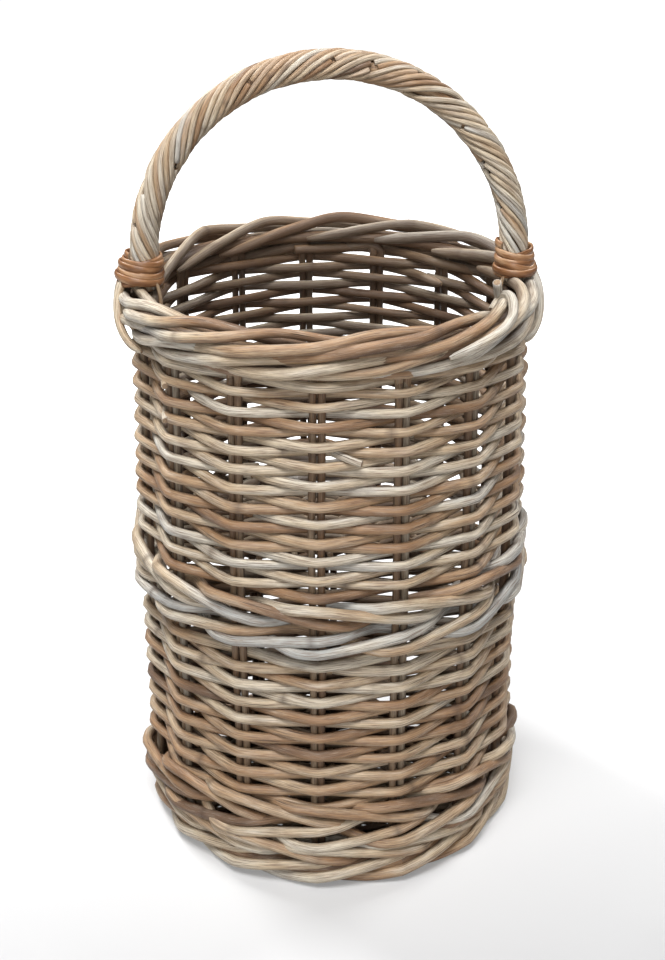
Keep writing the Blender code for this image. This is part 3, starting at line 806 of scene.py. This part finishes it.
def waled_round(bundle, wall, posts, seam, diameter, slant):
    """Strands that pass outside two stakes and behind one, each begun a stake later than the last."""
    start_height, end_height, lap, tone, sink = slant
    swing = ROD / 2 + diameter / 2
    for strand in range(WALE_CYCLE):
        first = seam + (strand - seam) % WALE_CYCLE
        last = seam + posts + (strand - seam - posts) % WALE_CYCLE
        place = np.arange(first - 0.2, last + 0.2, 1 / 14)
        phase = np.mod(place - strand, WALE_CYCLE)
        toward = np.minimum(phase, WALE_CYCLE - phase)
        out = eased(np.clip((toward - 0.12) / 0.70, 0, 1))
        share = np.interp(phase, [0.0, 0.90, WALE_CYCLE - 0.45, WALE_CYCLE], [0.60, 0.0, 1.0, 0.60])
        height = start_height + (end_height - start_height) * smoothed(share, 3)
        spot = wall(place, 0.0, height)
        beside = np.abs(np.degrees(np.arctan2(spot[:, 0], -spot[:, 1])))
        height = height - sink * bell(beside, *SINK_SPOT)
        offset = -swing + 2 * swing * out + lap * out * (1 - phase / WALE_CYCLE)
        length = (last - first) * STAKE_RUN
        count = len(place)
        offset = offset + drift(count, length, 0.06, 0.0008)
        height = height + drift(count, length, 0.08, 0.0011)
        size = diameter * draw.uniform(0.95, 1.04)
        bundle.add(on_chords(wall, place, offset, height), size, pick_tone(tone), tone_drift=0.20)


def make_wales():
    middle = Bundle("mid_wale_strands")
    for slant in MID_ROUNDS:
        waled_round(middle, round_wall, STAKES, MID_SEAM, MID_STRAND, slant)
    middle.build(["mid_wale"], [WALE_LOOK, CUT_ENDS])
    foot = Bundle("foot_wale_strands")
    for slant in FOOT_ROUNDS:
        waled_round(foot, lower_wall, LOWER_POSTS, FOOT_SEAM, FOOT_STRAND, slant)
    foot.build(["foot_wale"], [WALE_LOOK, CUT_ENDS])


def make_foot_ring():
    """Rolled border under the foot: a rod from each stake climbs the outside to the right and tucks in."""
    bundle = Bundle("foot_ring_strands")
    for stake in range(LOWER_POSTS):
        passed = np.arange(0.0, FOOT_RING_PASSES, 1 / 12)
        count = len(passed)
        length = 0.17
        roll = np.radians(FOOT_ROLL_START + FOOT_ROLL_PER_STAKE * passed) + drift(count, length, 0.06, 0.05)
        reach = FOOT_RING_LAY + drift(count, length, 0.05, 0.0003)
        offset = 0.0022 + reach * np.cos(roll)
        diameter = FOOT_RING_STRAND * draw.uniform(0.94, 1.04)
        height = np.maximum(0.0120 + reach * np.sin(roll), diameter / 2 * 1.12 + 0.0002)
        path = on_chords(lower_wall, stake + passed, offset, height)
        bundle.add(path, diameter, pick_tone(0.36, 0.2), uneven=0.02, tone_drift=0.15)
    places = np.arange(0, LOWER_POSTS + 0.5, 1 / 6)
    core = on_chords(lower_wall, places, 0.0030 + 0 * places, 0.0135 + 0 * places)
    bundle.add(core, FOOT_RING_CORE, 0.16)
    bundle.build(["foot_ring"], [WALE_LOOK, CUT_ENDS])


# Rolled border

# Tones round the border: angle from the front in degrees, and the tone there
BORDER_TONES = (
    [-180, -120, -80, -55, -30, 20, 40, 60, 100, 140, 180],
    [0.46, 0.54, 0.84, 0.72, 0.40, 0.32, 0.48, 0.70, 0.76, 0.54, 0.46],
)

# How much paler the lower tier is at the front, and how much darker the upper one
LOWER_TIER_TONE = 0.30
UPPER_TIER_TONE = -0.24

# How a border rod lies, by stakes passed: degrees rolled, where 0 is outside and 90 on top, and how far out.
# The first rod of each stake makes the lower tier and dips inside the border, the second makes the upper tier
LOWER_TIER = (
    [0.0, 0.45, 0.8, 1.3, 1.8, 2.2, 2.7, 3.4, 4.2],
    [-100, -96, -82, -62, -38, -20, -6, 20, 60],
    [0.0035, 0.0085, 0.0116, 0.0124, 0.0122, 0.0090, 0.0050, 0.0038, 0.0035],
)
UPPER_TIER = (
    [0.0, 0.7, 1.0, 1.35, 2.0, 2.5, 3.0, 3.6, 4.2],
    [-60, 2, 14, 26, 50, 82, 116, 160, 200],
    [0.0040, 0.0045, 0.0088, 0.0127, 0.0130, 0.0143, 0.0112, 0.0094, 0.0080],
)

# Stakes that a rod of each tier passes, give or take a little
LOWER_PASSES = 4.0
UPPER_PASSES = 4.2

# A rod leaves its stake at these heights, and is on its way round the border from this share of a gap on
STEM_HEIGHTS = np.array([0.380, 0.390, 0.398])
ROD_START = 0.16

# A strand bent like a hairpin and an upright stub, beside the handle's right foot: degrees, radii and heights
HOOK_DEGREES = [59.5, 61.5, 62.0, 60.5, 57.8, 54.3, 50.0, 42.5, 33.5, 26.5]
HOOK_RADII = [0.1225, 0.1240, 0.1265, 0.1310, 0.1365, 0.1420, 0.1470, 0.1515, 0.1525, 0.1490]
HOOK_HEIGHTS = [0.4100, 0.4140, 0.4180, 0.4210, 0.4220, 0.4205, 0.4160, 0.4120, 0.4080, 0.4030]
STUB_DEGREES = [66.0, 62.5, 59.0]
STUB_RADII = [0.1235, 0.1240, 0.1250]
STUB_HEIGHTS = [0.4060, 0.4180, 0.4300]


def wrapped_degrees(angle):
    return np.degrees(np.mod(angle + math.pi, 2 * math.pi) - math.pi)


def border_tone(angle, upper):
    degrees = wrapped_degrees(angle)
    front = np.clip((62 - np.abs(degrees)) / 20, 0, 1)
    return np.interp(degrees, *BORDER_TONES) + (UPPER_TIER_TONE if upper else LOWER_TIER_TONE) * front


def route(degrees, radii, heights):
    """A smooth line by angles in degrees, radii and heights."""
    points = ring_points(np.radians(np.array(degrees)), np.array(radii), np.array(heights))
    return curve_through(points, 0.003)


def border_rod(bundle, stake, upper):
    """A rod from its stake along the outside, over the mouth's edge and in."""
    passed, rolls, lays = UPPER_TIER if upper else LOWER_TIER
    passes = UPPER_PASSES if upper else LOWER_PASSES
    place = np.arange(ROD_START, passes + draw.normal(0, 0.12), 1 / 14)
    count = len(place)
    length = place[-1] * STAKE_RUN
    roll = np.radians(smoothed(np.interp(place, passed, rolls), 2)) + drift(count, length, 0.06, 0.10)
    lay = smoothed(np.interp(place, passed, lays), 2)
    lay = lay + draw.normal(0, 0.0004) + drift(count, length, 0.045, 0.0006)
    beside = (upper - 0.5) * ROD_SPACING / RIM_STAKE_RADIUS
    angle = STAKE_START + STAKE_TURN * (stake + place) + beside
    degrees = wrapped_degrees(angle)
    radius = BORDER_CENTRE_RADIUS - BORDER_DRAWN_IN * bell(degrees, *BORDER_DRAWN_SPOT) + lay * np.cos(roll)
    height = BORDER_CENTRE_HEIGHT - BORDER_DIP * bell(np.abs(degrees), *BORDER_DIP_SPOT) + lay * np.sin(roll)
    stem = round_point(np.full(3, angle[0] - ROD_START * STAKE_TURN), 0.0, STEM_HEIGHTS)
    path = curve_through(np.vstack([stem, ring_points(angle, radius, height)]), 0.0042)
    share = np.linspace(0, 1, len(path))
    tone = border_tone(np.arctan2(path[:, 0], -path[:, 1]), upper) + draw.normal(0, 0.16)
    tone = 0.2 + (tone - 0.2) * np.clip(share / 0.09, 0, 1)
    diameter = BORDER_STRAND * draw.uniform(0.90, 1.07)
    bundle.add(path, diameter, tone, sides=12, taper=(0.026, 0.018), uneven=0.05, tone_drift=0.07)


def make_border():
    """Rolled border: rods from each stake run over the mouth's edge to the right and end inside."""
    bundle = Bundle("border_strands", heart=(BORDER_CENTRE_RADIUS, BORDER_CENTRE_HEIGHT))
    for stake in range(STAKES):
        for upper in (0, 1):
            border_rod(bundle, stake, upper)
    degrees = np.arange(0, 365, 3.0)
    dip_middle, dip_width = BORDER_DIP_SPOT
    dip = bell(degrees, dip_middle, dip_width) + bell(degrees, 360 - dip_middle, dip_width)
    for side in (-1, 1):
        radii = BORDER_CENTRE_RADIUS + 0.0036 * side - BORDER_DRAWN_IN * bell(degrees, *BORDER_DRAWN_SPOT)
        inner_ring = ring_points(np.radians(degrees), radii, BORDER_CENTRE_HEIGHT - BORDER_DIP * dip + 0.001)
        bundle.add(inner_ring, BORDER_CORE, 0.16)
    # The hook and its stub get far less painted shade
    bundle.heart = None
    bundle.shaded = 0.15
    hook = route(HOOK_DEGREES, HOOK_RADII, HOOK_HEIGHTS)
    bundle.add(hook, HOOK, 0.78, sides=12, taper=(0, 0.02), uneven=0.02)
    stub = route(STUB_DEGREES, STUB_RADII, STUB_HEIGHTS)
    bundle.add(stub, HOOK_STUB, 0.82, sides=12, uneven=0.02)
    bundle.build(["rim_border"], [BORDER_LOOK, CUT_ENDS])


# Handle

# The bow's strands: their number, how far out they lie, the length of a turn, and half the gap at a cut
HANDLE_STRANDS = 12
HANDLE_LAY = 0.00835
HANDLE_PITCH = 0.092
STRAND_GAP = 0.0008

# A tail's way down over the border: degrees towards the front from the handle, radii and heights
FRONT_TURNS = [1.0, 1.5, 2.5, 4.0, 6.5, 9.5, 13.5, 18.5]
BACK_TURNS = [-1.0, -1.5, -2.0, -3.0, -4.5, -7.0, -10.0, -14.0]
OUTER_RADII = np.array([0.1370, 0.1410, 0.1465, 0.1495, 0.1503, 0.1490, 0.1455, 0.1405])
OUTER_HEIGHTS = [0.434, 0.4250, 0.4165, 0.4080, 0.3980, 0.3895, 0.3830, 0.3800]
INNER_TURNS = [3.0, 3.5, 4.0, 4.5, 4.5, 4.0, 4.0]
INNER_RADII = [0.1260, 0.1225, 0.1203, 0.1198, 0.1210, 0.1222, 0.1225]
INNER_HEIGHTS = [0.428, 0.418, 0.408, 0.398, 0.386, 0.372, 0.350]
RIGHT_DRAWN_IN = 0.0022

# Cane round the handle's feet. For each: its side, the half-width along X at the bottom, what it loses to
# the top, the middle's distance from the axis at the bottom, and what that loses to the top
BINDING_TURNS = 4.6
BINDING_FOOT = 0.4170
BINDING_HEIGHT = 0.0175
BINDING_DEPTH = 0.0150
BINDING_DEPTH_LOSS = 0.0032
BINDINGS = {"left": (-1, 0.0172, 0.0050, 0.1347, 0.0044), "right": (1, 0.0150, 0.0028, 0.1316, 0.0016)}


def handle_line(bottom):
    turn = np.linspace(math.pi, 0, 260)
    x = HANDLE_HALF_SPAN * np.cos(turn)
    z = HANDLE_SPRING + HANDLE_RISE * np.sin(turn)
    bow = np.stack([x, 0 * x, z], axis=1)
    return np.vstack([[-HANDLE_HALF_SPAN, 0, bottom], bow, [HANDLE_HALF_SPAN, 0, bottom]])


def make_handle():
    """The bow's rod, and strands twisted round it, each of them cut and started anew twice."""
    line = even(handle_line(HANDLE_FOOT - 0.006), 0.0028)
    along = arc_lengths(line)
    length = along[-1]
    steps = unit(np.gradient(line, axis=0))
    across = np.stack([-steps[:, 2], 0 * along, steps[:, 0]], axis=1)
    depth = np.array([0.0, -1.0, 0.0])
    bundle = Bundle("handle_strands", shaded=0.0)
    for strand in range(HANDLE_STRANDS):
        twist = -2 * math.pi * along / HANDLE_PITCH + 2 * math.pi * strand / HANDLE_STRANDS
        twist = twist + drift(len(along), length, 0.06, 0.035)
        cuts = [0.0, *np.sort(draw.uniform(0.10, 0.92, 2) * length), length]
        lay = HANDLE_LAY + drift(len(along), length, 0.03, 0.00022)
        for first, last in zip(cuts[:-1], cuts[1:]):
            inside = (along >= first + STRAND_GAP) & (along <= last - STRAND_GAP)
            if inside.sum() < 12:
                continue
            near_end = np.minimum(along - first, last - along)[inside]
            sunk = 0.0009 * np.clip(1 - near_end / 0.010, 0, 1) ** 2
            reach = (lay[inside] - sunk)[:, None]
            turn = twist[inside][:, None]
            path = line[inside] + reach * np.cos(turn) * across[inside] + reach * np.sin(turn) * depth
            tone = pick_tone(0.42, 0.08) if draw.random() < 0.30 else pick_tone(0.70, 0.11)
            risen = np.clip((path[:, 2] - HANDLE_SPRING) / HANDLE_RISE, 0, 1)
            tone = tone + 0.03 - 0.36 * risen**2
            bundle.add(path, HANDLE_STRAND * draw.uniform(0.93, 1.06), tone, tone_drift=0.1, uneven=0.02)
    bundle.build(["handle_wrap"], [HANDLE_LOOK, CUT_ENDS])
    core = Bundle("handle_core_rod", shaded=0.0)
    core.add(line, HANDLE_CORE, 0.15, sides=14)
    core.build(["handle_core"], [CORE_LOOK, CUT_ENDS])


def make_tails():
    """Ends of the handle's strands: two go down outside the border, and a flat one inside."""
    for side, name in ((-1, "left"), (1, "right")):
        bundle = Bundle(f"handle_tails_{name}", shaded=0.0)
        radii = OUTER_RADII - (RIGHT_DRAWN_IN if side == 1 else 0.0)
        for turns in (FRONT_TURNS, BACK_TURNS):
            outer = route(side * (90 - np.array(turns)), radii, OUTER_HEIGHTS)
            bundle.add(outer, TAIL, pick_tone(0.55, 0.08), taper=(0, 0.008), uneven=0.02)
        inner = route(side * (90 - np.array(INNER_TURNS)), INNER_RADII, INNER_HEIGHTS)
        bundle.add(inner, INNER_TAIL, 0.26, flat=0.35, out=inner * IN_PLAN, uneven=0.02, taper=(0, 0.006))
        nodes = [f"handle_tail_{name}_{part}" for part in ("outer_1", "outer_2", "inner")]
        bundle.build(nodes, [HANDLE_LOOK, CUT_ENDS])


def make_bindings():
    """Flat cane wound round the handle's foot and the strand ends beside it, wider below."""
    for name, (side, wide_below, wide_loss, middle_below, middle_loss) in BINDINGS.items():
        bundle = Bundle(f"cane_binding_{name}", shaded=0.0)
        turn = np.linspace(0, 2 * math.pi * BINDING_TURNS, int(34 * BINDING_TURNS))
        count = len(turn)
        length = BINDING_TURNS * 0.09
        share = np.linspace(0, 1, count)
        height = BINDING_FOOT + BINDING_HEIGHT * share
        wide = wide_below - wide_loss * share + drift(count, length, 0.05, 0.0006)
        deep = BINDING_DEPTH - BINDING_DEPTH_LOSS * share
        middle = side * (middle_below - middle_loss * share)
        x = wide * np.cos(turn)
        y = deep * np.sin(turn)
        tilt = (-0.0024 + drift(count, length, 0.08, 0.0010)) * np.cos(turn)
        wander = drift(count, length, 0.05, 0.0008)
        out = np.stack([np.cos(turn) / wide, np.sin(turn) / deep, 0 * turn], axis=1)
        path = np.stack([middle + x, y, height + tilt + wander], axis=1)
        bundle.add(path, CANE, 0.2, sides=14, flat=0.46, out=out, uneven=0.05)
        under = np.stack([middle + 0.93 * x, 0.93 * y, height - 0.8 * tilt], axis=1)
        bundle.add(under, UNDER_CANE, 0.2, sides=12, flat=0.46, out=out, uneven=0.05)
        bundle.build([f"handle_binding_{name}"], [CANE_LOOK, CUT_ENDS])


# Bottom and shelf

BAR_SPACING = 0.027
BARS = 9
PANEL_MIDDLE = 0.004

# Least half-width of a row and least length of a bar
LEAST_ROW = 0.02
LEAST_BAR = 0.02


def half_width(level, inset, across):
    """Half-width of a round panel at a distance from its middle."""
    radius = float(stake_radius(level)) - inset
    return math.sqrt(max(0.0, radius**2 - across**2))


def make_panel(name, node, level, inset, front, back):
    """A woven panel: stout bars from front to back and rods woven over and under them."""
    bundle = Bundle(name)
    middle = level + PANEL_MIDDLE
    for x in (np.arange(BARS) - BARS // 2) * BAR_SPACING:
        reach = half_width(level, inset + 0.002, x)
        low = max(front, -reach)
        high = min(back, reach)
        if high - low < LEAST_BAR:
            continue
        y = np.arange(low, high, 0.006)
        bundle.add(np.stack([x + 0 * y, y, middle + 0 * y], axis=1), PANEL_ROD, pick_tone(0.3), sides=8)
    rows = np.arange(front + PANEL_ROD, back - PANEL_ROD / 2, PANEL_ROD * 1.04)
    for index, y in enumerate(rows):
        reach = half_width(level, inset, y)
        if reach < LEAST_ROW:
            continue
        x = np.arange(-reach, reach, 0.0045)
        wave = np.cos(np.pi * (x / BAR_SPACING + index))
        z = middle + PANEL_ROD * wave * (1.2 - 0.2 * wave**2) * 0.8
        path = np.stack([x, y + drift(len(x), 2 * reach, 0.05, 0.0002), z], axis=1)
        bundle.add(path, PANEL_ROD, pick_tone(0.42, 0.12), sides=8)
    bundle.build([node], [PANEL_LOOK, CUT_ENDS])


def make_panels():
    make_panel("base_weave", "base_panel", level=0.0125, inset=0.0085, front=-0.128, back=0.0105)
    make_panel("shelf_weave", "step_shelf", level=STEP_HEIGHT, inset=0.0060, front=0.002, back=0.1330)


# Floor, light and camera

WHITE = (1.0, 1.0, 1.0, 1.0)
FLOOR_NEAR = [(0.3, (0.40, 0.40, 0.405)), (0.7, (0.42, 0.42, 0.425))]
FLOOR_FAR = (0.90, 0.90, 0.90, 1.0)
FLOOR_GLOW = (0.03, 0.9)
WORLD_LIGHT = 0.10

# Place, size in metres and power in watts of each lamp, and the point that all of them face
LAMPS = {
    "back_left": ((-0.9, 0.9, 1.9), 0.45, 34.0),
    "back_right": ((1.1, 0.7, 1.6), 0.45, 18.0),
    "above": ((-0.25, -0.85, 2.0), 0.9, 40.0),
    "front": ((-0.3, -2.1, 0.9), 1.1, 15.0),
}
LAMP_AIM = (0.0, 0.0, 0.25)

# The camera stands to the left of the front and looks down
CAMERA_TURN = math.radians(4.3)
CAMERA_PITCH = math.radians(25)
CAMERA_DISTANCE = 1.0924
CAMERA_HEIGHT = 0.7636
CAMERA_LENS = 60.41
CAMERA_SHIFT = (0.0021, 0.0051)


def make_floor():
    """Pale floor that keeps the shadow near the basket, and glows white for the camera further off."""
    mesh = bpy.data.meshes.new("floor")
    mesh.from_pydata([(-6, -5, 0), (6, -5, 0), (6, 9, 0), (-6, 9, 0)], [], [(0, 1, 2, 3)])
    floor = bpy.data.objects.new("floor", mesh)
    bpy.context.scene.collection.objects.link(floor)
    made = Nodes("pale_floor")
    place = made.node("ShaderNodeTexCoord").outputs["Object"]
    cloud = made.noise(place, scale=3.0)
    split = made.node("ShaderNodeSeparateXYZ")
    made.put(split.inputs[0], place)
    far = made.span(split.outputs["Y"], -0.5, 1.2)
    made.surface(made.mix(far, made.ramp(cloud, FLOOR_NEAR), FLOOR_FAR), 0.9)
    distance = made.node("ShaderNodeVectorMath", operation="LENGTH")
    made.put(distance.inputs[0], place)
    behind = made.span(split.outputs["Y"], -0.4, 1.0, *FLOOR_GLOW)
    round_about = made.span(distance.outputs["Value"], 0.75, 2.2, *FLOOR_GLOW)
    lift = made.math("MAXIMUM", behind, round_about)
    path = made.node("ShaderNodeLightPath")
    glow = made.node("ShaderNodeEmission")
    made.put(glow.inputs["Color"], WHITE)
    made.put(glow.inputs["Strength"], made.math("MULTIPLY", lift, path.outputs["Is Camera Ray"]))
    both = made.node("ShaderNodeAddShader")
    made.put(both.inputs[0], made.shader.outputs[0])
    made.put(both.inputs[1], glow.outputs[0])
    made.put(made.tree.nodes["Material Output"].inputs["Surface"], both.outputs[0])
    mesh.materials.append(made.material)


def make_lamp(name, place, size, power):
    data = bpy.data.lights.new(name, "AREA")
    data.shape = "SQUARE"
    data.size = size
    data.energy = power
    lamp = bpy.data.objects.new(name, data)
    lamp.location = place
    bpy.context.scene.collection.objects.link(lamp)
    towards = np.array(LAMP_AIM) - np.array(place)
    pitch = math.acos(-towards[2] / float(np.linalg.norm(towards)))
    lamp.rotation_euler = (pitch, 0.0, math.atan2(towards[1], towards[0]) - math.pi / 2)


def make_world():
    """White for the camera, and a dim even light for the rest."""
    world = bpy.data.worlds.new("studio")
    world.use_nodes = True
    tree = world.node_tree
    back = tree.nodes["Background"]
    back.inputs["Color"].default_value = WHITE
    path = tree.nodes.new("ShaderNodeLightPath")
    strength = tree.nodes.new("ShaderNodeMapRange")
    strength.inputs["To Min"].default_value = WORLD_LIGHT
    strength.inputs["To Max"].default_value = 1.0
    tree.links.new(path.outputs["Is Camera Ray"], strength.inputs["Value"])
    tree.links.new(strength.outputs["Result"], back.inputs["Strength"])
    bpy.context.scene.world = world


def make_camera():
    data = bpy.data.cameras.new("camera")
    data.sensor_width = 36.0
    data.lens = CAMERA_LENS
    data.shift_x, data.shift_y = CAMERA_SHIFT
    camera = bpy.data.objects.new("camera", data)
    x = -CAMERA_DISTANCE * math.sin(CAMERA_TURN)
    y = -CAMERA_DISTANCE * math.cos(CAMERA_TURN)
    camera.location = (x, y, CAMERA_HEIGHT)
    camera.rotation_euler = (math.pi / 2 - CAMERA_PITCH, 0.0, -CAMERA_TURN)
    bpy.context.scene.collection.objects.link(camera)
    bpy.context.scene.camera = camera


make_stakes()
make_weaves()
make_wales()
make_foot_ring()
make_border()
make_handle()
make_tails()
make_bindings()
make_panels()

make_floor()
for lamp_name, lamp in LAMPS.items():
    make_lamp(lamp_name, *lamp)
make_world()
make_camera()
bpy.context.scene.view_settings.view_transform = "Standard"
